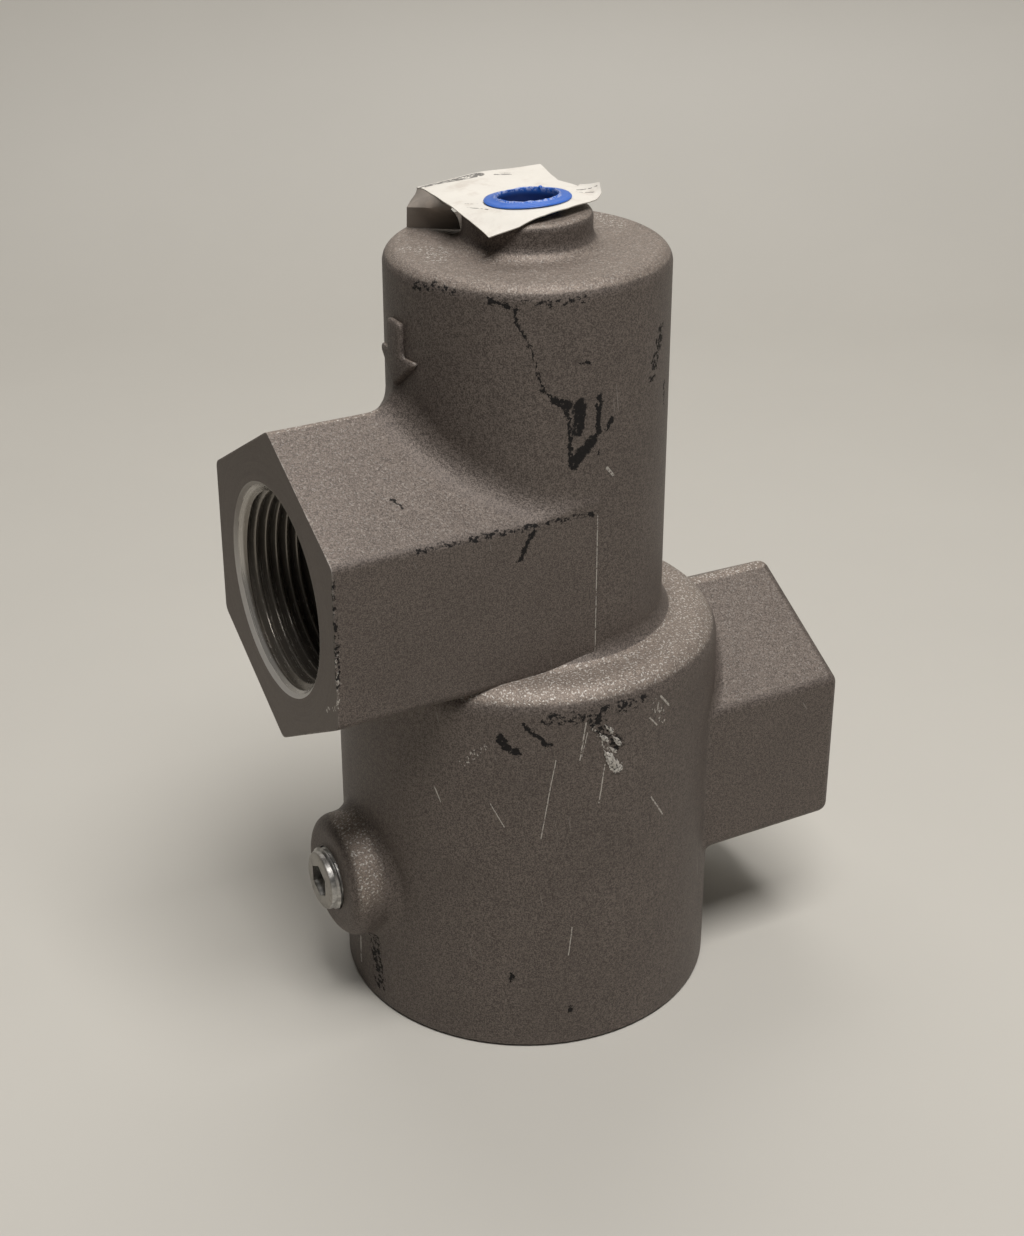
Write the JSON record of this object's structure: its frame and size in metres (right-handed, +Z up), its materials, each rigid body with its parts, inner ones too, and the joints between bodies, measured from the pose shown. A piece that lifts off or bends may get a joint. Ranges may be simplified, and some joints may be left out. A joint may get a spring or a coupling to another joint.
{
  "type": "relay valve",
  "caption": "Pilot-operated poppet relay valve: cast cylinder body with offset hexagonal pipe ports, a plugged side port and a capped pilot port on top.",
  "frame": {"origin": "centre of the base face, on the valve axis", "axes": "+Z up along the valve axis, +X out of the inlet port, -X out of the outlet port"},
  "size_m": [0.1169, 0.0794, 0.1709],
  "materials": {
    "cast_body": "sand cast and dark hard anodised, matt and grainy",
    "machined_alloy": "turned, clear anodised",
    "brass_trim": "turned",
    "spring_steel": "phosphated spring steel",
    "stem_steel": "turned stainless steel",
    "zinc_plug": "bright zinc plate",
    "seal_rubber": "matt nitrile rubber",
    "guide_plastic": "filled PTFE",
    "blue_plastic": "soft moulded polyethylene",
    "tag_paper": "worn white card"
  },
  "bodies": {
    "housing": {"valve_body": "cast_body", "seat_ring": "brass_trim", "seat_ring_seal": "seal_rubber", "bottom_cap": "machined_alloy", "cap_o_ring": "seal_rubber", "stem_bushing": "brass_trim", "cap_retaining_ring": "spring_steel", "supply_port_plug": "zinc_plug", "paper_tag": "tag_paper", "return_spring": "spring_steel"},
    "valve_group": {"pilot_piston": "machined_alloy", "piston_o_ring": "seal_rubber", "piston_guide_ring": "guide_plastic", "piston_stem_seal": "seal_rubber", "valve_stem": "stem_steel", "piston_washer": "stem_steel", "piston_nut": "stem_steel", "poppet": "machined_alloy", "poppet_seal": "seal_rubber", "seal_retainer": "stem_steel", "poppet_stem_seal": "seal_rubber", "poppet_washer": "stem_steel", "poppet_nut": "stem_steel"},
    "cap_plug": {"pilot_port_plug": "blue_plastic"}
  },
  "joints": [
    {"name": "valve_slide", "type": "slide", "parent": "housing", "child": "valve_group", "axis": [0, 0, 1], "range_m": [-0.009, 0], "stiffness_N_per_m": 2500, "springref_m": 0.012, "deforming": ["return_spring"]},
    {"name": "cap_plug_pull", "type": "slide", "parent": "housing", "child": "cap_plug", "axis": [0, 0, 1], "range_m": [0, 0.02]}
  ]
}
